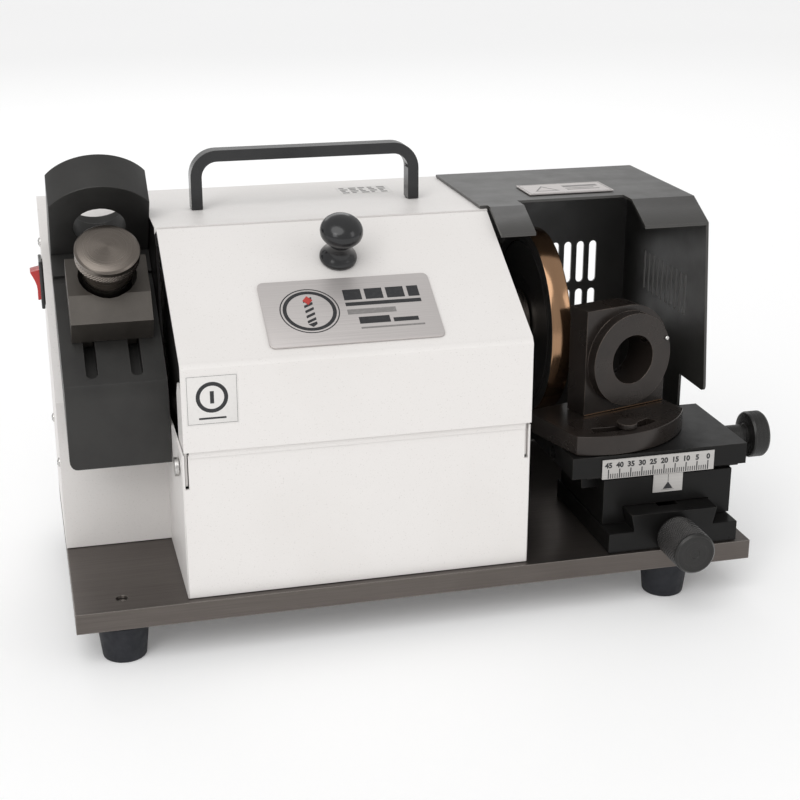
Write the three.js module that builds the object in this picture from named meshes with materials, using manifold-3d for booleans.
// Bench drill bit sharpener: a sheet-steel cabinet with a hinged lid over a collet bay, a motor
// that turns a grinding wheel under a hood, a cross slide with a swivelling chuck ring in front
// of the wheel, and a sloping setting fixture with an adjustable stop at the left.
// Millimetres, +Z up, +X along the front to the right, +Y to the back.
import * as THREE from 'three';
import { mergeVertices } from 'three/addons/utils/BufferGeometryUtils.js';
import Module from 'manifold-3d';

const wasm = await Module();
wasm.setup();

// ---------------------------------------------------------------- driving dimensions
// All places are measured from the base plate's front left top corner.
const GAP = 0.3;                 // clearance between pieces that touch
const SHEET = 1.5;               // cabinet sheet
const THIN = 1.2;                // lid and hood sheet
const BOX_SHEET = 1;             // side walls of the collet box

const PLATE = { length: 300, depth: 150, thick: 9 };
const FOOT = { top: 11, bottom: 9.2, height: 16.4, bore: 2.6, recess: 6 };
const FEET = [
  { name: 'foot_front_left', x: 19.7, y: 11.5 },
  { name: 'foot_front_right', x: 264, y: 12.5 },
  { name: 'foot_rear_left', x: 19.7, y: 137.5 },
  { name: 'foot_rear_right', x: 264, y: 137.5 },
];
const FOOT_SCREW = { shank: 2.0, head: 4.2, headHigh: 2.6, up: 1.4 };

const CAB = { recessY: 66.4, backY: 149, topZ: 142.8, topFrontY: 70.8 };
const BOX = { x0: 46.6, x1: 194.9, frontY: 3.3, wallZ: 64 };
const LID = { x0: 47.4, x1: 194.5, ear: 1, frontY: 1.7, lowZ: 65.6, foldZ: 102.3, topY: 69.7 };
const LID_SLOPE = Math.atan2(CAB.topZ - LID.foldZ, CAB.topFrontY - LID.frontY);
const LID_PIVOT = { y: 14, z: 55.5 };
const EAR_SLOT_LOW = 49;        // slots in the box front that the lid's ears swing through
const KNOB = {
  x: 121.7, alongSlope: 54.8, foot: 8, neck: 4.6, head: 9, headLow: 13.5, headTop: 17, high: 22,
};
const NAME_PLATE = { x0: 84.4, x1: 157.7, low: 5.2, high: 42, thick: 0.8 };
const HANDLE = { x0: 68.8, x1: 168.3, y: 103.8, topZ: 169.2, thick: 5, wide: 8, bend: 12 };

const SETTING = { x0: 3.4, width: 42.9, frontY: 40, lowZ: 47.4, edgeZ: 82, bedThick: 12 };
const SETTING_HEEL = { thick: 24, to: 38, thinFrom: 62 };  // the bed is thicker towards the front
const SETTING_NOSE = { drop: 5, back: 3 };                 // chamfer along the bed's front edge
const SETTING_SLOPE = THREE.MathUtils.degToRad(36);
const ARCH = {
  along: 75, thick: 19, shoulder: 31.2, round: 26, bore: 11.3, boreUp: 17.2, rear: 14.6, rearDeep: 7,
};
const SLOT = { offset: 9.4, width: 5, from: 6.5, to: 58, deep: 8 };
const STOP = { from: 25.6, to: 58, width: 34.4, high: 17, bore: 12.5, boreAt: 48.2, shift: 0.8 };
const STOP_NOSE = { back: 12, drop: 4.5 };
const STOP_KEY = { half: 2.1, from: 3, to: 17 };
const STOP_KNOB = { stem: 10.5, cap: 13.6, capLow: 28, capTop: 34.6, foot: 3 };

const SWITCH = { y: 121, z: 109.2, tilt: THREE.MathUtils.degToRad(12) };
const SWITCH_FRAME = { wide: 7.5, high: 11, thick: 1.5 };
const SWITCH_BODY = { wide: 5.6, high: 9.2, deep: 10 };
const SWITCH_WELL = { wide: 4.6, high: 8.3, deep: 7 };
const ROCKER = { wide: 4.3, high: 6.8, face: 4.6, dip: 3.4, back: 2.5 };
const INLET = { x: 28, z: 40, wide: 28, high: 20.5 };
const REAR_VENT = { x: 100, z: 88, count: 7, pitch: 9, width: 4, high: 28 };

const AXLE = { y: 98.5, z: 81.4, shaft: 6 };
const MOTOR = { x0: 66, x1: 158, outer: 37.5, inner: 29, capThick: 10 };
const WHEEL = { x0: 221.9, x1: 231.6, outer: 44, core: 38, hub: 15 };
const CHAMBER = { x1: 293.8, topZ: 144.3, backY: 145.3, foldY: 68.1 };
const HOOD_LIP = { y: 50.8, z: 135.6, left: 195.3, topLeft: 191.7 };
const HOOD_PLATE = { x0: 220, x1: 261.3, y0: 85.5, y1: 106, thick: 0.6 };
const HOOD_NOTCH = { x0: 211.4, x1: 263, y: 78 };
const HOOD_WALL = { lowY: 42.5, lowZ: 57.5, legY: 69.4 };
const BACK_SLOT = { columns: 8, lastX: 275.2, pitch: 6.75, width: 4, high: 21.5, lowZ: [85.1, 60.1] };
const SIDE_SLOT = { count: 10, firstY: 69, pitch: 5.35, width: 2, lowZ: 87, high: 19.6 };

const SLIDE = { x0: 232.2, x1: 293.7, frontY: 1.5, backY: 68.8, slabZ: 9.4 };
const Y_RAIL = { x: 263, low: 18.5, top: 20.5, topZ: 17.4 };
const SADDLE = { x0: 232.9, x1: 294.4, y0: 11.9, y1: 65.5, z0: 9.7, z1: 31 };
const TABLE = { x0: 217.6, x1: 300.7, y0: 11.2, y1: 66, z0: 33.1, z1: 42.8 };
const X_RAIL = { y: 38.7, low: 17.5, top: 15.5, lowZ: 24.3, x0: 226, x1: 298.5 };
const X_SCREW = { y: 37, z: 36.3, radius: 3, channel: 4.6, channelTop: 40.6 };
const Y_SCREW = { x: 263, z: 7, radius: 3, channel: 4.6, channelLow: 2.4 };
const NUT = { half: 4, x0: 260, x1: 268, y0: 34, y1: 44 };  // the saddle's nuts on the two screws
const POINTER = { x0: 256.1, x1: 270.3, z0: 23, z1: 31.8, thick: 0.5 };
const RULER = { x0: 231.2, x1: 284.6, z0: 32.1, z1: 41.3, thick: 0.6 };
const X_KNOB = { x0: 312.5, x1: 321, radius: 10.8, hub: 5 };
const Y_KNOB = { y0: -22, y1: -0.6, radius: 9.5, hub: 5 };

const SWIVEL = { x: 237.5, y: 60, turn: THREE.MathUtils.degToRad(16), z0: 43.1, z1: 52, reach: 48.7 };
const CLAMP = { x: 246.1, y: 20.5 };  // the screw that holds the swivel plate at its angle
const RING_PLACE = { x: 11.45, front: -19.9 };
const RING = { width: 45.5, thick: 12.7, axisUp: 25, outer: 21.6, crown: 24.4, boss: 5, bore: 11.4 };

const COLLETS = [6.5, 5, 3.5];  // bore radii of the collets stored in the tray
const TRAY = { x0: 53, x1: 188.5, y0: 9, y1: 59, z0: 50, z1: 58, pitch: 24, hole: 9.2 };

// ---------------------------------------------------------------- materials
const paint = (name, color, roughness, metalness) =>
  new THREE.MeshStandardMaterial({ name, color, roughness, metalness });
const WHITE = paint('white_powder_coat', 0xebe8e4, 0.45, 0.0);
const OLIVE = paint('dark_sheet', 0x4c4944, 0.5, 0.3);
const PLATE_STEEL = paint('brushed_steel', 0x6e6a64, 0.4, 0.9);
const BLACK_OXIDE = paint('black_oxide', 0x3a3a3a, 0.5, 0.7);
const BROWN_OXIDE = paint('brown_oxide', 0x453b35, 0.45, 0.7);
const ANODISED = paint('black_anodised', 0x1c1c1d, 0.4, 0.5);
const TURNED = paint('turned_steel', 0x6f665d, 0.35, 0.9);
const BRIGHT = paint('bright_steel', 0xb8b8b8, 0.3, 1.0);
const RUBBER = paint('rubber', 0x2b2b30, 0.8, 0.0);
const BLACK_PLASTIC = paint('black_plastic', 0x17171a, 0.35, 0.0);
const RED_PLASTIC = paint('red_plastic', 0xc8282a, 0.3, 0.0);
const BRONZE = paint('bronze_bond', 0xb98c64, 0.35, 0.8);
const ALUMINIUM = paint('cast_aluminium', 0x9b9d9f, 0.5, 0.9);

// ---------------------------------------------------------------- geometry helpers
// x, y and z take a profile's own axes to the part's axes.
const frameOf = (x, y, z, at = [0, 0, 0]) => new THREE.Matrix4()
  .makeBasis(new THREE.Vector3(...x), new THREE.Vector3(...y), new THREE.Vector3(...z))
  .setPosition(...at);
const ALONG_X = frameOf([0, 1, 0], [0, 0, 1], [1, 0, 0]);
const ALONG_Y = frameOf([1, 0, 0], [0, 0, 1], [0, -1, 0]);

function box(x0, x1, y0, y1, z0, z1) {
  const geometry = new THREE.BoxGeometry(x1 - x0, y1 - y0, z1 - z0);
  return geometry.translate((x0 + x1) / 2, (y0 + y1) / 2, (z0 + z1) / 2);
}

const outline = (points) => new THREE.Shape(points.map(([a, b]) => new THREE.Vector2(a, b)));

function extrude(shape, depth, curveSegments = 12) {
  return new THREE.ExtrudeGeometry(shape, { depth, bevelEnabled: false, curveSegments });
}

// A (y, z) outline pulled from x0 to x1.
function prismX(points, x0, x1) {
  const shape = points instanceof THREE.Shape ? points : outline(points);
  return extrude(shape, x1 - x0).applyMatrix4(ALONG_X).translate(x0, 0, 0);
}

// An (x, z) outline pulled from y0 to y1.
function prismY(points, y0, y1, segments = 12) {
  const shape = points instanceof THREE.Shape ? points : outline(points);
  return extrude(shape, y1 - y0, segments).applyMatrix4(ALONG_Y).translate(0, y1, 0);
}

// An (x, y) outline pulled from z0 to z1.
function prismZ(points, z0, z1, segments = 12) {
  const shape = points instanceof THREE.Shape ? points : outline(points);
  return extrude(shape, z1 - z0, segments).translate(0, 0, z0);
}

// A profile of [radius, along] points turned about an axis: 'x', 'y' or 'z'.
function turned(profile, axis, segments = 24) {
  const geometry = new THREE.LatheGeometry(profile.map(([r, a]) => new THREE.Vector2(r, a)), segments);
  if (axis === 'x') geometry.rotateZ(-Math.PI / 2);
  if (axis === 'z') geometry.rotateX(Math.PI / 2);
  return geometry;
}

const rod = (radius, from, to, axis, segments = 16) =>
  turned([[0, from], [radius, from], [radius, to], [0, to]], axis, segments);
const rodX = (radius, x0, x1, y, z, segments) => rod(radius, x0, x1, 'x', segments).translate(0, y, z);
const rodY = (radius, y0, y1, x, z, segments) => rod(radius, y0, y1, 'y', segments).translate(x, 0, z);
const rodZ = (radius, z0, z1, x, y, segments) => rod(radius, z0, z1, 'z', segments).translate(x, y, 0);

// A ring's section, closed on itself.
const ringProfile = (inner, outer, a0, a1) =>
  [[inner, a0], [outer, a0], [outer, a1], [inner, a1], [inner, a0]];

// A slot with round ends, upright in the (x, z) plane.
function uprightSlot(x, z0, width, high) {
  const r = width / 2;
  const shape = new THREE.Shape();
  shape.moveTo(x + r, z0 + r);
  shape.lineTo(x + r, z0 + high - r);
  shape.absarc(x, z0 + high - r, r, 0, Math.PI, false);
  shape.lineTo(x - r, z0 + r);
  shape.absarc(x, z0 + r, r, Math.PI, 2 * Math.PI, false);
  return shape;
}

function solid(geometry) {
  const bare = geometry.clone();
  bare.deleteAttribute('normal');
  bare.deleteAttribute('uv');
  const merged = mergeVertices(bare, 1e-4);
  return new wasm.Manifold(new wasm.Mesh({
    numProp: 3,
    vertProperties: new Float32Array(merged.attributes.position.array),
    triVerts: new Uint32Array(merged.index.array),
  }));
}

function toGeometry(manifold) {
  const mesh = manifold.getMesh();
  const geometry = new THREE.BufferGeometry();
  geometry.setAttribute('position', new THREE.BufferAttribute(mesh.vertProperties, 3));
  geometry.setIndex(new THREE.BufferAttribute(mesh.triVerts, 1));
  return geometry;
}

const joined = (...pieces) => pieces.map(solid).reduce((sum, piece) => sum.add(piece));
const cut = (body, ...tools) => tools.map(solid).reduce((rest, tool) => rest.subtract(tool), body);
const carve = (geometry, ...tools) => toGeometry(cut(solid(geometry), ...tools));

const bench = new THREE.Group();

function part(name, geometry, material, parent = bench) {
  const mesh = new THREE.Mesh(geometry, material);
  mesh.name = name;
  parent.add(mesh);
  return mesh;
}

// ---------------------------------------------------------------- base plate and feet
function addBase() {
  const holes = FEET.map(({ x, y }) => rodZ(FOOT.bore, -PLATE.thick - 1, 1, x, y, 12));
  part('base_plate', carve(box(0, PLATE.length, 0, PLATE.depth, -PLATE.thick, 0), ...holes), PLATE_STEEL);
  const top = -PLATE.thick - GAP;
  const bottom = top - FOOT.height;
  const ledge = bottom + FOOT.recess;
  for (const { name, x, y } of FEET) {
    const profile = [
      [FOOT.bore, top], [FOOT.bore, ledge], [FOOT.recess, ledge], [FOOT.recess, bottom],
      [FOOT.bottom, bottom], [FOOT.top, top], [FOOT.bore, top],
    ];
    part(name, turned(profile, 'z', 24).translate(x, y, 0), RUBBER);
    const head = ledge - GAP;
    const screw = [
      [0, head - FOOT_SCREW.headHigh], [FOOT_SCREW.head, head - FOOT_SCREW.headHigh],
      [FOOT_SCREW.head, head], [FOOT_SCREW.shank, head],
      [FOOT_SCREW.shank, -FOOT_SCREW.up], [0, -FOOT_SCREW.up],
    ];
    part(name.replace('foot', 'foot_screw'), turned(screw, 'z', 12).translate(x, y, 0), BRIGHT);
  }
}

// ---------------------------------------------------------------- setting fixture's frame
// Its bed climbs to the back: "along" runs up the bed and "up" stands square to it.
const bedFrame = frameOf(
  [1, 0, 0],
  [0, Math.cos(SETTING_SLOPE), Math.sin(SETTING_SLOPE)],
  [0, -Math.sin(SETTING_SLOPE), Math.cos(SETTING_SLOPE)],
  [0, SETTING.frontY, SETTING.edgeZ],
);
const onBed = (along, up) => {
  const point = new THREE.Vector3(0, along, up).applyMatrix4(bedFrame);
  return [point.y, point.z];
};

// Where the line that lies "up" above the bed reaches the height z.
const bedLineY = (z, up) => {
  const [y0, z0] = onBed(0, up);
  return y0 + (z - z0) / Math.tan(SETTING_SLOPE);
};

// The height of the underside between the fixture's low front corner and the end of its heel.
const heelLineZ = (y) => {
  const [heelY, heelZ] = onBed(SETTING_HEEL.to, -SETTING_HEEL.thick);
  const along = (y - SETTING.frontY) / (heelY - SETTING.frontY);
  return SETTING.lowZ + along * (heelZ - SETTING.lowZ);
};

// ---------------------------------------------------------------- cabinet
function addCabinet() {
  const { recessY, backY, topZ, topFrontY } = CAB;
  // The ramp follows the fixture's underside, with a sheet's thickness below it.
  const ramp = [
    [recessY, heelLineZ(recessY) - 2 * GAP],
    onBed(SETTING_HEEL.to, -SETTING_HEEL.thick - GAP),
    onBed(SETTING_HEEL.thinFrom, -SETTING.bedThick - GAP),
    [bedLineY(topZ, -SETTING.bedThick - GAP), topZ],
  ];
  const under = [
    [recessY, heelLineZ(recessY) - 2 * GAP - 1.3 * SHEET],
    onBed(SETTING_HEEL.to + SHEET / 2, -SETTING_HEEL.thick - GAP - SHEET),
    onBed(SETTING_HEEL.thinFrom + SHEET / 2, -SETTING.bedThick - GAP - SHEET),
    [bedLineY(topZ - SHEET, -SETTING.bedThick - GAP - SHEET), topZ - SHEET],
    [backY, topZ - SHEET],
  ];
  const sideProfile = [[recessY, GAP], [backY, GAP], [backY, topZ], ...ramp.toReversed()];
  const rampProfile = [...under, [backY, topZ], ...ramp.toReversed()];
  const lidClear = [[backY, topZ], [topFrontY, topZ], [topFrontY, topZ - 3], [recessY, topZ - 7]];
  const stepProfile = [...under, ...lidClear];
  const farProfile = [[recessY, GAP], [backY, GAP], ...lidClear];
  const boxWall = [
    [BOX.frontY, GAP], [recessY + 1, GAP], [recessY + 1, BOX.wallZ], [BOX.frontY, BOX.wallZ],
  ];
  const right = BOX.x1 - BOX_SHEET;
  const left = BOX.x0 + BOX_SHEET;
  const shell = joined(
    prismX(sideProfile, 0, SHEET),
    prismX(rampProfile, 0, left),
    box(0, left, recessY, recessY + SHEET, GAP, ramp[0][1]),
    prismX(stepProfile, BOX.x0, left),
    prismX(boxWall, BOX.x0, left),
    box(BOX.x0, BOX.x1, BOX.frontY, BOX.frontY + SHEET, GAP, BOX.wallZ),
    prismX(boxWall, right, BOX.x1),
    prismX(farProfile, right, BOX.x1),
    box(BOX.x0, BOX.x1, topFrontY, backY, topZ - SHEET, topZ),
  );
  const pivotBore = 2.4;
  const shaftBore = 16;
  const boltBore = 2.8;
  const earSlot = (x) => box(x, x + LID.ear + 2 * GAP, 0, BOX.frontY + 3, EAR_SLOT_LOW, BOX.wallZ + 1);
  const hollow = cut(
    shell,
    rodX(pivotBore, BOX.x0 - 1, left + 1, LID_PIVOT.y, LID_PIVOT.z, 16),
    rodX(pivotBore, right - 1, BOX.x1 + 1, LID_PIVOT.y, LID_PIVOT.z, 16),
    rodX(shaftBore, right - 1, BOX.x1 + 1, AXLE.y, AXLE.z, 32),
    rodZ(boltBore, topZ - 3, topZ + 1, HANDLE.x0, HANDLE.y, 16),
    rodZ(boltBore, topZ - 3, topZ + 1, HANDLE.x1, HANDLE.y, 16),
    box(
      -1, SHEET + 1, SWITCH.y - SWITCH_BODY.wide - GAP, SWITCH.y + SWITCH_BODY.wide + GAP,
      SWITCH.z - SWITCH_BODY.high - GAP, SWITCH.z + SWITCH_BODY.high + GAP,
    ),
    earSlot(left),
    earSlot(right - LID.ear - 2 * GAP),
  );
  part('cabinet_shell', toGeometry(hollow), WHITE);
  addRearPanel();
  addSidePlates();
}

// One plate closes the back, with vents behind the motor and the mains inlet at its corner.
function addRearPanel() {
  const y1 = CAB.backY - GAP;
  const y0 = y1 - THIN;
  const x0 = SHEET + GAP;
  const x1 = BOX.x1 - SHEET - GAP;
  const high = CAB.topZ - SHEET - GAP;
  const floor = 2 * GAP;
  const opening = box(
    INLET.x - INLET.wide / 2, INLET.x + INLET.wide / 2, y0 - 1, y1 + 1,
    INLET.z - INLET.high / 2, INLET.z + INLET.high / 2,
  );
  const vents = [];
  for (let i = 0; i < REAR_VENT.count; i += 1) {
    const x = REAR_VENT.x + i * REAR_VENT.pitch;
    const slot = uprightSlot(x, REAR_VENT.z, REAR_VENT.width, REAR_VENT.high);
    vents.push(prismY(slot, y0 - 1, y1 + 1, 3));
  }
  part('rear_panel', carve(box(x0, x1, y0, y1, floor, high), opening, ...vents), WHITE);
  addInlet(y0, y1);
}

function addInlet(y0, y1) {
  const { x } = INLET;
  const w = INLET.wide / 2 - GAP;
  const h = INLET.high / 2 - GAP;
  const body = box(x - w, x + w, y0 - 18, y1 + 2, INLET.z - h, INLET.z + h);
  const flange = box(x - w - 6, x + w + 6, y1 + GAP, y1 + 2.3, INLET.z - h - 2, INLET.z + h + 2);
  const pocket = box(x - w + 2, x + w - 2, y1 - 13, y1 + 4, INLET.z - h + 2, INLET.z + h - 2);
  const blades = [-6, 0, 6].map((dx) =>
    box(x + dx - 1, x + dx + 1, y1 - 14, y1 - 3, INLET.z - 2.5, INLET.z + 2.5));
  const shell = joined(body, flange).subtract(solid(pocket));
  const inlet = blades.map(solid).reduce((sum, blade) => sum.add(blade), shell);
  part('power_inlet', toGeometry(inlet), BLACK_PLASTIC);
}

// Black plates that close the two ends of the collet bay under the lid.
function addSidePlates() {
  const inset = 4.5;
  const lowZ = 30;
  const rise = Math.tan(LID_SLOPE);
  const front = BOX.frontY + SHEET + GAP;
  const back = CAB.recessY + 3;
  const underLid = (y) => LID.foldZ + (y - LID.frontY) * rise - inset;
  const profile = [[front, lowZ], [back, lowZ], [back, underLid(back)], [front, underLid(front)]];
  const beside = BOX_SHEET + LID.ear + 3 * GAP;
  const left = BOX.x0 + beside;
  const right = BOX.x1 - beside;
  const bore = (x) => rodX(2.4, x - 1, x + THIN + 1, LID_PIVOT.y, LID_PIVOT.z, 16);
  part('side_plate_left', carve(prismX(profile, left, left + THIN), bore(left)), ANODISED);
  part('side_plate_right', carve(prismX(profile, right - THIN, right), bore(right - THIN)), ANODISED);
}

// ---------------------------------------------------------------- lid
// The slope's own frame: x along the lid, y up the slope, z out of it.
const slopeFrame = frameOf(
  [1, 0, 0],
  [0, Math.cos(LID_SLOPE), Math.sin(LID_SLOPE)],
  [0, -Math.sin(LID_SLOPE), Math.cos(LID_SLOPE)],
  [0, LID.frontY, LID.foldZ],
);

function addLid() {
  const c = Math.cos(LID_SLOPE);
  const s = Math.sin(LID_SLOPE);
  const rise = s / c;
  const outerZ = (y) => LID.foldZ + (y - LID.frontY) * rise;
  const innerZ = (y) => outerZ(y) - THIN / c;
  const inside = LID.frontY + THIN;
  const endY = LID.topY;
  const profile = [
    [LID.frontY, LID.lowZ], [inside, LID.lowZ], [inside, innerZ(inside)],
    [endY + THIN * s, innerZ(endY + THIN * s)], [endY, outerZ(endY)],
    [LID.frontY + 1.6, outerZ(LID.frontY + 1.6)], [LID.frontY, LID.foldZ - 1.6],
  ];
  const over = BOX.wallZ + GAP + 1.6;
  const behind = BOX.frontY + SHEET + GAP;
  const ear = [
    [LID.frontY, over], [behind, over], [behind, 50], [19, 50],
    [24, 56], [24, 84], [19, 90], [LID.frontY, 90],
  ];
  const flange = BOX.x0 + BOX_SHEET + GAP;
  const farFlange = BOX.x1 - BOX_SHEET - GAP - LID.ear;
  const eye = (x) => rodX(2.9, x - 2, x + 2, LID_PIVOT.y, LID_PIVOT.z, 16);
  const knobHole = rod(2.4, -3, 3, 'z', 12).translate(KNOB.x, KNOB.alongSlope, 0).applyMatrix4(slopeFrame);
  const sheet = joined(
    prismX(profile, LID.x0, LID.x1),
    prismX(ear, flange, flange + LID.ear),
    prismX(ear, farFlange, farFlange + LID.ear),
  );
  part('lid', toGeometry(cut(sheet, eye(flange), eye(farFlange), knobHole)), WHITE);

  const knob = [
    [0, -4], [2, -4], [2, GAP], [KNOB.foot, GAP], [KNOB.foot, 2], [KNOB.neck, 5.5], [KNOB.neck, 9.5],
    [KNOB.head, KNOB.headLow], [KNOB.head, KNOB.headTop], [KNOB.head - 2.4, KNOB.high - 1.2],
    [0, KNOB.high],
  ];
  const placed = turned(knob, 'z', 24).translate(KNOB.x, KNOB.alongSlope, 0).applyMatrix4(slopeFrame);
  part('lid_knob', placed, BLACK_PLASTIC);
  const plate = box(
    NAME_PLATE.x0, NAME_PLATE.x1, NAME_PLATE.low, NAME_PLATE.high, GAP, GAP + NAME_PLATE.thick,
  );
  part('name_plate', plate.applyMatrix4(slopeFrame), BRIGHT);

  // Shoulder screws that the lid's ears turn on, through the box wall and the bay's end plate.
  const headHigh = 1.8;
  const pin = [[0, 0], [4, 0], [4, headHigh], [2, headHigh], [2, 7.4], [0, 7.4]];
  const clear = headHigh + GAP;
  const left = turned(pin, 'x', 16).translate(BOX.x0 - clear, LID_PIVOT.y, LID_PIVOT.z);
  const right = turned(pin, 'x', 16).rotateZ(Math.PI)
    .translate(BOX.x1 + clear, LID_PIVOT.y, LID_PIVOT.z);
  part('lid_pivot_left', left, BRIGHT);
  part('lid_pivot_right', right, BRIGHT);
}

// ---------------------------------------------------------------- carry handle
function addHandle() {
  const half = HANDLE.thick / 2;
  const foot = CAB.topZ + GAP;
  const arch = (grow, bend) => {
    const x0 = HANDLE.x0 - grow;
    const x1 = HANDLE.x1 + grow;
    const top = HANDLE.topZ - half + grow;
    const shape = new THREE.Shape();
    shape.moveTo(x0, foot - (grow > 0 ? 0 : 1));
    shape.lineTo(x1, foot - (grow > 0 ? 0 : 1));
    shape.lineTo(x1, top - bend);
    shape.absarc(x1 - bend, top - bend, bend, 0, Math.PI / 2, false);
    shape.absarc(x0 + bend, top - bend, bend, Math.PI / 2, Math.PI, false);
    shape.lineTo(x0, foot - (grow > 0 ? 0 : 1));
    return shape;
  };
  const y0 = HANDLE.y - HANDLE.wide / 2;
  const y1 = HANDLE.y + HANDLE.wide / 2;
  const outer = solid(prismY(arch(half, HANDLE.bend), y0, y1, 6));
  const inner = solid(prismY(arch(-half, HANDLE.bend - HANDLE.thick), y0 - 1, y1 + 1, 6));
  const boltBore = 2;
  const handle = cut(
    outer.subtract(inner),
    rodZ(boltBore, foot - 1, foot + 12, HANDLE.x0, HANDLE.y, 12),
    rodZ(boltBore, foot - 1, foot + 12, HANDLE.x1, HANDLE.y, 12),
  );
  part('carry_handle', toGeometry(handle), BLACK_PLASTIC);
  const under = CAB.topZ - SHEET - GAP;
  const bolt = [
    [0, under - 3], [4.5, under - 3], [4.5, under], [1.7, under], [1.7, foot + 11], [0, foot + 11],
  ];
  part('handle_screw_left', turned(bolt, 'z', 12).translate(HANDLE.x0, HANDLE.y, 0), BRIGHT);
  part('handle_screw_right', turned(bolt, 'z', 12).translate(HANDLE.x1, HANDLE.y, 0), BRIGHT);
}

// ---------------------------------------------------------------- setting fixture
function addSetting() {
  const { x0, width, frontY, lowZ, edgeZ, bedThick } = SETTING;
  const x1 = x0 + width;
  const middle = x0 + width / 2;
  const reach = ARCH.along + ARCH.thick;
  const side = [
    [frontY, lowZ], onBed(SETTING_HEEL.to, -SETTING_HEEL.thick),
    onBed(SETTING_HEEL.thinFrom, -bedThick), onBed(reach, -bedThick), onBed(reach, 0),
    onBed(SETTING_NOSE.back, 0), [frontY, edgeZ - SETTING_NOSE.drop],
  ];
  const slots = [-SLOT.offset, SLOT.offset].map((offset) => {
    const slot = uprightSlot(middle + offset, SLOT.from, SLOT.width, SLOT.to - SLOT.from);
    return prismZ(slot, -SLOT.deep, 1, 6).applyMatrix4(bedFrame);
  });
  const groove = box(x0 - 1, x1 + 1, 58.5, 63, -2, 1).applyMatrix4(bedFrame);
  part('setting_bed', carve(prismX(side, x0, x1), ...slots, groove), BLACK_OXIDE);

  // The arch is drawn in its own face, x across and up from the bed.
  const crown = Math.acos(width / 2 / ARCH.round);
  const centreUp = ARCH.shoulder - ARCH.round * Math.sin(crown);
  const face = new THREE.Shape();
  face.moveTo(x0, GAP);
  face.lineTo(x1, GAP);
  face.lineTo(x1, ARCH.shoulder);
  face.absarc(middle, centreUp, ARCH.round, crown, Math.PI - crown, false);
  const hole = new THREE.Path();
  hole.absarc(middle, ARCH.boreUp, ARCH.bore, 0, 2 * Math.PI, true);
  face.holes.push(hole);
  const block = prismY(face, ARCH.along, reach, 14);
  const rear = rodY(ARCH.rear, reach - ARCH.rearDeep, reach + 1, middle, ARCH.boreUp, 36);
  part('setting_arch', toGeometry(cut(solid(block), rear)).applyMatrix4(bedFrame), BLACK_OXIDE);

  // The stop slides on the bed with two keys in its slots.
  const stopX = middle + STOP.shift;
  const profile = [
    [STOP.from, GAP], [STOP.to, GAP], [STOP.to, STOP.high],
    [STOP.from + STOP_NOSE.back, STOP.high], [STOP.from, STOP.high - STOP_NOSE.drop],
  ];
  const keys = [-SLOT.offset, SLOT.offset].map((offset) => box(
    middle + offset - STOP_KEY.half, middle + offset + STOP_KEY.half,
    STOP.from + STOP_KEY.from, STOP.from + STOP_KEY.to, -SLOT.deep + 1, 1,
  ));
  const stop = cut(
    joined(prismX(profile, stopX - STOP.width / 2, stopX + STOP.width / 2), ...keys),
    rodZ(STOP.bore, STOP_KNOB.foot - GAP, STOP.high + 1, stopX, STOP.boreAt, 24),
  );
  part('stop_block', toGeometry(stop).applyMatrix4(bedFrame), TURNED);
  const knob = [
    [0, STOP_KNOB.foot], [STOP_KNOB.stem, STOP_KNOB.foot], [STOP_KNOB.stem, STOP_KNOB.capLow - 1.5],
    [STOP_KNOB.cap, STOP_KNOB.capLow], [STOP_KNOB.cap, STOP_KNOB.capTop - 1.2],
    [STOP_KNOB.cap - 1, STOP_KNOB.capTop], [0, STOP_KNOB.capTop + 0.8],
  ];
  const knobAt = turned(knob, 'z', 32).translate(stopX, STOP.boreAt, 0).applyMatrix4(bedFrame);
  part('stop_knob', knobAt, TURNED);
}

// ---------------------------------------------------------------- switch
function addSwitch() {
  const { y, z } = SWITCH;
  const around = ({ wide, high }, from, to) => box(from, to, y - wide, y + wide, z - high, z + high);
  const frame = around(SWITCH_FRAME, -SWITCH_FRAME.thick - GAP, -GAP);
  const body = around(SWITCH_BODY, -1, SWITCH_BODY.deep);
  const well = around(SWITCH_WELL, -3, SWITCH_WELL.deep);
  part('switch_bezel', toGeometry(joined(frame, body).subtract(solid(well))), BLACK_PLASTIC);
  const { wide, high, face, dip, back } = ROCKER;
  const rocker = outline([[-high, back], [-high, -face], [0, -dip], [high, -face], [high, back]]);
  const geometry = extrude(rocker, 2 * wide)
    .applyMatrix4(frameOf([0, 0, 1], [1, 0, 0], [0, 1, 0]))
    .translate(0, -wide, 0);
  geometry.rotateY(-SWITCH.tilt).translate(0, y, z);
  part('switch_rocker', geometry, RED_PLASTIC);
}

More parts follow.
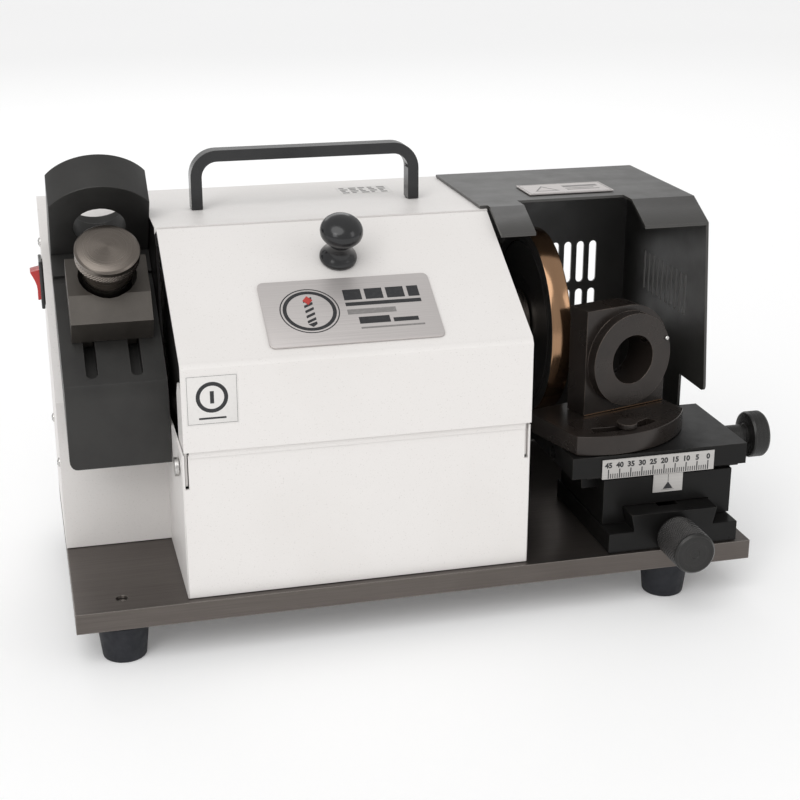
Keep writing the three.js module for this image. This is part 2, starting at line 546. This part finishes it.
// ---------------------------------------------------------------- motor, spindle and wheel
function addDrive() {
  const { y, z, shaft } = AXLE;
  const { x0, x1, outer, inner, capThick } = MOTOR;
  const at = (geometry) => geometry.translate(0, y, z);
  const housing = at(turned(ringProfile(inner, outer, x0, x1), 'x', 36));
  part('motor_housing', housing, ALUMINIUM);
  const capBore = 11.3;
  const cap = (a0, a1) => at(turned(ringProfile(capBore, outer - 1.5, a0, a1), 'x', 32));
  part('motor_cap_left', cap(x0 - capThick - GAP, x0 - GAP), ALUMINIUM);
  part('motor_cap_right', cap(x1 + GAP, x1 + GAP + capThick), ALUMINIUM);
  const bearing = (a0) => at(turned(ringProfile(shaft + GAP, capBore - GAP, a0, a0 + 8), 'x', 20));
  part('bearing_left', bearing(x0 - capThick + 1), BRIGHT);
  part('bearing_right', bearing(x1 + 1.5), BRIGHT);
  const end = WHEEL.x1 + 12;
  const rotor = [
    [0, x0 - capThick - 4], [shaft, x0 - capThick - 4], [shaft, x0 + 6], [inner - 0.8, x0 + 6],
    [inner - 0.8, x1 - 6], [shaft, x1 - 6], [shaft, WHEEL.x0 - 6], [shaft, end], [0, end],
  ];
  part('rotor_shaft', at(turned(rotor, 'x', 24)), BRIGHT);
  const cradleTop = z - 14;
  const cradle = [
    [y - 34, 2 * GAP], [y + 34, 2 * GAP], [y + 34, cradleTop], [y - 34, cradleTop],
  ];
  const seat = rodX(outer + GAP, x0 - 30, x1 + 30, y, z, 36);
  const relief = box(x0 + 22, x1 - 22, y - 40, y + 40, 8, 100);
  part('motor_cradle', carve(prismX(cradle, x0 + 8, x1 - 8), seat, relief), ANODISED);
  part('run_capacitor', rodX(14, 8, 44, 92, 30, 20), BLACK_PLASTIC);

  const bore = shaft + GAP;
  const flange = [
    [bore, WHEEL.x0 - 12], [12, WHEEL.x0 - 12], [12, WHEEL.x0 - 5], [WHEEL.hub, WHEEL.x0 - 3],
    [WHEEL.hub, WHEEL.x0 - GAP], [bore, WHEEL.x0 - GAP], [bore, WHEEL.x0 - 12],
  ];
  part('wheel_flange', at(turned(flange, 'x', 24)), TURNED);
  const core = [
    [bore, WHEEL.x0], [WHEEL.core, WHEEL.x0], [WHEEL.core, WHEEL.x1], [WHEEL.core - 6, WHEEL.x1],
    [WHEEL.core - 9, WHEEL.x1 - 3], [WHEEL.hub, WHEEL.x1 - 3], [bore, WHEEL.x1 - 3], [bore, WHEEL.x0],
  ];
  part('wheel_core', at(turned(core, 'x', 36)), BLACK_OXIDE);
  const rim = ringProfile(WHEEL.core + GAP, WHEEL.outer, WHEEL.x0, WHEEL.x1);
  part('wheel_rim', at(turned(rim, 'x', 48)), BRONZE);
  const nut = new THREE.CylinderGeometry(9, 9, 7, 6).rotateZ(Math.PI / 2).translate(WHEEL.x1 + 0.9, y, z);
  part('wheel_nut', carve(nut, rodX(bore, 200, 260, y, z, 20)), BRIGHT);
}

// ---------------------------------------------------------------- hood over the wheel
function addHood() {
  const { x1, topZ, backY, foldY } = CHAMBER;
  const { left, topLeft } = HOOD_LIP;
  const lipSlope = Math.atan2(topZ - HOOD_LIP.z, foldY - HOOD_LIP.y);
  const drop = THIN / Math.cos(lipSlope);
  const lip = [
    [foldY, topZ], [HOOD_LIP.y, HOOD_LIP.z], [HOOD_LIP.y, HOOD_LIP.z - drop], [foldY + 0.5, topZ - THIN],
    [foldY + 2, topZ - THIN], [foldY + 2, topZ],
  ];
  const wall = new THREE.Shape();
  wall.moveTo(HOOD_WALL.legY, GAP);
  wall.lineTo(backY, GAP);
  wall.lineTo(backY, topZ);
  wall.lineTo(foldY, topZ);
  wall.lineTo(HOOD_LIP.y, HOOD_LIP.z);
  wall.lineTo(HOOD_WALL.lowY, HOOD_WALL.lowZ + 3);
  wall.quadraticCurveTo(HOOD_WALL.lowY, HOOD_WALL.lowZ, HOOD_WALL.lowY + 3, HOOD_WALL.lowZ);
  wall.lineTo(HOOD_WALL.legY, HOOD_WALL.lowZ);
  const clearOfLid = CAB.topFrontY + 0.7;
  const slots = [];
  for (const lowZ of BACK_SLOT.lowZ) {
    for (let i = 0; i < BACK_SLOT.columns; i += 1) {
      const x = BACK_SLOT.lastX - i * BACK_SLOT.pitch;
      slots.push(prismY(uprightSlot(x, lowZ, BACK_SLOT.width, BACK_SLOT.high), backY - 4, backY + 1, 3));
    }
  }
  for (let i = 0; i < SIDE_SLOT.count; i += 1) {
    const y = SIDE_SLOT.firstY + i * SIDE_SLOT.pitch;
    slots.push(box(x1 - 4, x1 + 1, y - SIDE_SLOT.width / 2, y + SIDE_SLOT.width / 2,
      SIDE_SLOT.lowZ, SIDE_SLOT.lowZ + SIDE_SLOT.high));
  }
  const sheet = joined(
    box(left, x1, foldY, backY, topZ - THIN, topZ),
    box(topLeft, left + 1, clearOfLid, backY, topZ - THIN, topZ),
    prismX(lip, left, x1),
    box(BOX.x1 + GAP, x1, backY - THIN, backY, GAP, topZ),
    prismX(wall, x1 - THIN, x1),
  );
  const notch = box(HOOD_NOTCH.x0, HOOD_NOTCH.x1, HOOD_LIP.y - 5, HOOD_NOTCH.y, HOOD_LIP.z - 5, topZ + 1);
  part('hood', toGeometry(cut(sheet, notch, ...slots)), OLIVE);
  const { x0, x1: plateX1, y0, y1, thick } = HOOD_PLATE;
  part('hood_plate', box(x0, plateX1, y0, y1, topZ + GAP, topZ + GAP + thick), BRIGHT);
}

// ---------------------------------------------------------------- cross slide
function addSlides() {
  const { x0, x1, frontY, backY, slabZ } = SLIDE;
  const rail = [
    [Y_RAIL.x - Y_RAIL.low, slabZ - 1], [Y_RAIL.x + Y_RAIL.low, slabZ - 1],
    [Y_RAIL.x + Y_RAIL.top, Y_RAIL.topZ], [Y_RAIL.x - Y_RAIL.top, Y_RAIL.topZ],
  ];
  const thrust = 8;
  const channel = box(
    Y_SCREW.x - Y_SCREW.channel, Y_SCREW.x + Y_SCREW.channel,
    frontY + thrust, backY - thrust, Y_SCREW.channelLow, Y_RAIL.topZ + 1,
  );
  const bore = rodY(Y_SCREW.radius + GAP, frontY - 1, backY + 1, Y_SCREW.x, Y_SCREW.z, 16);
  const base = joined(box(x0, x1, frontY, backY, GAP, slabZ), prismY(rail, frontY, backY));
  part('slide_base', toGeometry(cut(base, channel, bore)), ANODISED);
  part('y_screw', rodY(Y_SCREW.radius, Y_KNOB.y1 + 2, backY - 2, Y_SCREW.x, Y_SCREW.z, 16), BRIGHT);
  const yKnob = [
    [0, Y_KNOB.y0], [Y_KNOB.radius - 1, Y_KNOB.y0], [Y_KNOB.radius, Y_KNOB.y0 + 1],
    [Y_KNOB.radius, Y_KNOB.y1 - 1], [Y_KNOB.radius - 1, Y_KNOB.y1],
    [Y_KNOB.hub, Y_KNOB.y1], [Y_KNOB.hub, frontY - GAP],
    [Y_SCREW.radius + GAP, frontY - GAP], [Y_SCREW.radius + GAP, Y_KNOB.y1 + 1], [0, Y_KNOB.y1 + 1],
  ];
  part('y_knob', turned(yKnob, 'y', 32).translate(Y_SCREW.x, 0, Y_SCREW.z), ANODISED);

  addSaddle(rail);
  addTable();
}

function addSaddle() {
  const { x0, x1, y0, y1, z0, z1 } = SADDLE;
  const play = 0.4;
  const female = [
    [Y_RAIL.x - Y_RAIL.low - play, z0 - 1], [Y_RAIL.x + Y_RAIL.low + play, z0 - 1],
    [Y_RAIL.x + Y_RAIL.top + play, Y_RAIL.topZ + play], [Y_RAIL.x - Y_RAIL.top - play, Y_RAIL.topZ + play],
  ];
  const upper = [
    [X_RAIL.y - X_RAIL.low - play, X_RAIL.lowZ - play], [X_RAIL.y + X_RAIL.low + play, X_RAIL.lowZ - play],
    [X_RAIL.y + X_RAIL.top + play, z1 + 1], [X_RAIL.y - X_RAIL.top - play, z1 + 1],
  ];
  const nut = box(
    Y_SCREW.x - NUT.half, Y_SCREW.x + NUT.half, NUT.y0, NUT.y1, Y_SCREW.channelLow + 0.5, Y_RAIL.topZ + 2,
  );
  const nutBore = rodY(Y_SCREW.radius + GAP, 30, 50, Y_SCREW.x, Y_SCREW.z, 16);
  const block = solid(box(x0, x1, y0, y1, z0, z1));
  const body = cut(block, prismY(female, y0 - 1, y1 + 1), prismX(upper, x0 - 1, x1 + 1));
  const xNut = box(
    NUT.x0, NUT.x1, X_SCREW.y - NUT.half, X_SCREW.y + NUT.half, X_RAIL.lowZ - 2, X_SCREW.channelTop - 0.4,
  );
  const xNutBore = rodX(X_SCREW.radius + GAP, 255, 275, X_SCREW.y, X_SCREW.z, 16);
  const saddle = cut(body.add(solid(nut)).add(solid(xNut)), nutBore, xNutBore);
  part('saddle', toGeometry(saddle), ANODISED);
  const face = y0 - GAP;
  const pointer = box(POINTER.x0, POINTER.x1, face - POINTER.thick, face, POINTER.z0, POINTER.z1);
  part('pointer_plate', pointer, BRIGHT);
}

function addTable() {
  const { x0, x1, y0, y1, z0, z1 } = TABLE;
  const rail = [
    [X_RAIL.y - X_RAIL.low, X_RAIL.lowZ], [X_RAIL.y + X_RAIL.low, X_RAIL.lowZ],
    [X_RAIL.y + X_RAIL.top, z0 + 1], [X_RAIL.y - X_RAIL.top, z0 + 1],
  ];
  const step = 1.8;
  const thrust = 8;
  const body = joined(
    box(x0, x1, y0, y1, z0, z1),
    box(X_RAIL.x0, X_RAIL.x1, y0 + 3, y1 - 3, z0 - step, z0 + 1),
    prismX(rail, X_RAIL.x0, X_RAIL.x1),
  );
  const channel = box(
    x0 + thrust, x1 - thrust, X_SCREW.y - X_SCREW.channel, X_SCREW.y + X_SCREW.channel,
    X_RAIL.lowZ - 1, X_SCREW.channelTop,
  );
  const bore = rodX(X_SCREW.radius + GAP, x0 - 1, x1 + 1, X_SCREW.y, X_SCREW.z, 16);
  const pivot = rodZ(2.4, z1 - 5, z1 + 1, SWIVEL.x, SWIVEL.y, 12);
  const clampHole = rodZ(2, z1 - 4, z1 + 1, CLAMP.x, CLAMP.y, 12);
  part('cross_table', toGeometry(cut(body, channel, bore, pivot, clampHole)), ANODISED);
  const face = y0 - GAP;
  part('ruler', box(RULER.x0, RULER.x1, face - RULER.thick, face, RULER.z0, RULER.z1), BRIGHT);
  part('x_screw', rodX(X_SCREW.radius, x0 + 2, X_KNOB.x0 - 2, X_SCREW.y, X_SCREW.z, 16), BRIGHT);
  const r = X_KNOB.radius;
  const knob = [
    [0, X_KNOB.x0 - 1], [X_SCREW.radius + GAP, X_KNOB.x0 - 1], [X_SCREW.radius + GAP, x1 + GAP],
    [X_KNOB.hub, x1 + GAP], [X_KNOB.hub, X_KNOB.x0], [r - 1, X_KNOB.x0],
    [r, X_KNOB.x0 + 1], [r, X_KNOB.x1 - 1], [r - 1, X_KNOB.x1], [0, X_KNOB.x1],
  ];
  part('x_knob', turned(knob, 'x', 32).translate(0, X_SCREW.y, X_SCREW.z), ANODISED);
}

// ---------------------------------------------------------------- swivelling chuck ring
// Drawn about the pivot, before the fixture is turned to its angle.
function addRing() {
  const swivel = new THREE.Group();
  swivel.position.set(SWIVEL.x, SWIVEL.y, 0);
  swivel.rotation.z = SWIVEL.turn;
  bench.add(swivel);
  const { z0, z1, reach } = SWIVEL;
  const left = -29;
  const right = 35.5;
  const startAngle = -Math.acos(right / reach);
  const endAngle = -Math.PI + Math.acos(-left / reach);
  const plan = new THREE.Shape();
  plan.moveTo(right, 0);
  plan.lineTo(left, 0);
  plan.lineTo(left, reach * Math.sin(endAngle));
  plan.absarc(0, 0, reach, endAngle, startAngle, false);
  const slotRadius = 40;
  const slotHalf = 2.6;
  const slotFrom = THREE.MathUtils.degToRad(-117);
  const slotTo = THREE.MathUtils.degToRad(-70);
  const slot = new THREE.Shape();
  slot.absarc(0, 0, slotRadius + slotHalf, slotFrom, slotTo, false);
  slot.absarc(0, 0, slotRadius - slotHalf, slotTo, slotFrom, true);
  const pivotBore = rod(2.4, z0 - 1, z1 + 1, 'z', 12);
  const platePlan = carve(prismZ(plan, z0, z1, 16), prismZ(slot, z0 - 1, z1 + 1, 16), pivotBore);
  part('swivel_plate', platePlan, BROWN_OXIDE, swivel);

  const blockLeft = RING_PLACE.x - RING.width / 2;
  const blockRight = RING_PLACE.x + RING.width / 2;
  const floor = z1 + GAP;
  const axisZ = z1 + RING.axisUp;
  const side = Math.acos(RING.width / 2 / RING.crown);
  const face = new THREE.Shape();
  face.moveTo(blockLeft, floor);
  face.lineTo(blockRight, floor);
  face.absarc(RING_PLACE.x, axisZ, RING.crown, side, Math.PI / 2, false);
  face.lineTo(blockLeft, axisZ + RING.crown);
  const block = prismY(face, RING_PLACE.front, RING_PLACE.front + RING.thick, 14);
  const { x, front } = RING_PLACE;
  const boss = rodY(RING.outer, front - RING.boss, front + 2, x, axisZ, 40);
  const bore = rodY(RING.bore, front - 20, front + 30, x, axisZ, 32);
  const trimmed = box(blockLeft - 30, blockRight + 30, -100, 50, z1 - 20, floor);
  part('ring_block', toGeometry(cut(joined(block, boss), bore, trimmed)), BROWN_OXIDE, swivel);
  const screw = [[0, z0 - 3], [2, z0 - 3], [2, z1 + GAP], [3.4, z1 + GAP], [3.4, z1 + 3], [0, z1 + 3]];
  part('swivel_pivot_screw', turned(screw, 'z', 16), BRIGHT, swivel);
  const clamp = [
    [0, TABLE.z1 - 3], [1.7, TABLE.z1 - 3], [1.7, z1 + GAP],
    [4.6, z1 + GAP], [4.6, z1 + 2.6], [0, z1 + 2.6],
  ];
  part('swivel_clamp_screw', turned(clamp, 'z', 16).translate(CLAMP.x, CLAMP.y, 0), BLACK_OXIDE);
}

// ---------------------------------------------------------------- collet bay
function addBay() {
  const { x0, x1, y0, y1, z0, z1, pitch, hole } = TRAY;
  const holeAt = (column, row) => [x0 + 21 + column * pitch, y0 + 13 + row * pitch];
  const tools = [];
  const columns = 5;
  for (let column = 0; column < columns; column += 1) {
    for (let row = 0; row < 2; row += 1) {
      const [x, y] = holeAt(column, row);
      tools.push(rodZ(hole, z0 - 1, z1 + 1, x, y, 16));
    }
  }
  const legs = [x0, x1 - 3].map((x) => box(x, x + 3, y0, y1, 2 * GAP, z0 + 1));
  const tray = joined(box(x0, x1, y0, y1, z0, z1), ...legs);
  part('collet_tray', toGeometry(cut(tray, ...tools)), ANODISED);
  COLLETS.forEach((bore, index) => {
    const [x, y] = holeAt(index + 1, 1);
    const seat = z1 + GAP;
    const profile = [
      [bore, seat - 20], [6.8, seat - 20], [8.6, seat], [10.4, seat + 6], [10.4, seat + 11],
      [bore, seat + 11], [bore, seat - 20],
    ];
    part(`collet_${index + 1}`, turned(profile, 'z', 16).translate(x, y, 0), BRIGHT);
  });
  const [x, y] = holeAt(1, 0);
  const seat = z1 + GAP;
  const chuck = [
    [4, seat - 26], [8.6, seat - 26], [8.6, seat], [10.6, seat], [10.6, seat + 16], [11.3, seat + 17],
    [11.3, seat + 26], [4, seat + 26], [4, seat - 26],
  ];
  part('collet_chuck', turned(chuck, 'z', 20).translate(x, y, 0), TURNED);
}

addBase();
addCabinet();
addLid();
addHandle();
addSetting();
addSwitch();
addDrive();
addHood();
addSlides();
addRing();
addBay();

// The part's origin is the middle of its box, on the surface that it stands on.
const extent = new THREE.Box3().setFromObject(bench);
bench.position.set(
  -(extent.min.x + extent.max.x) / 2,
  -(extent.min.y + extent.max.y) / 2,
  -extent.min.z,
);
const group = new THREE.Group();
group.add(bench);

export default group;
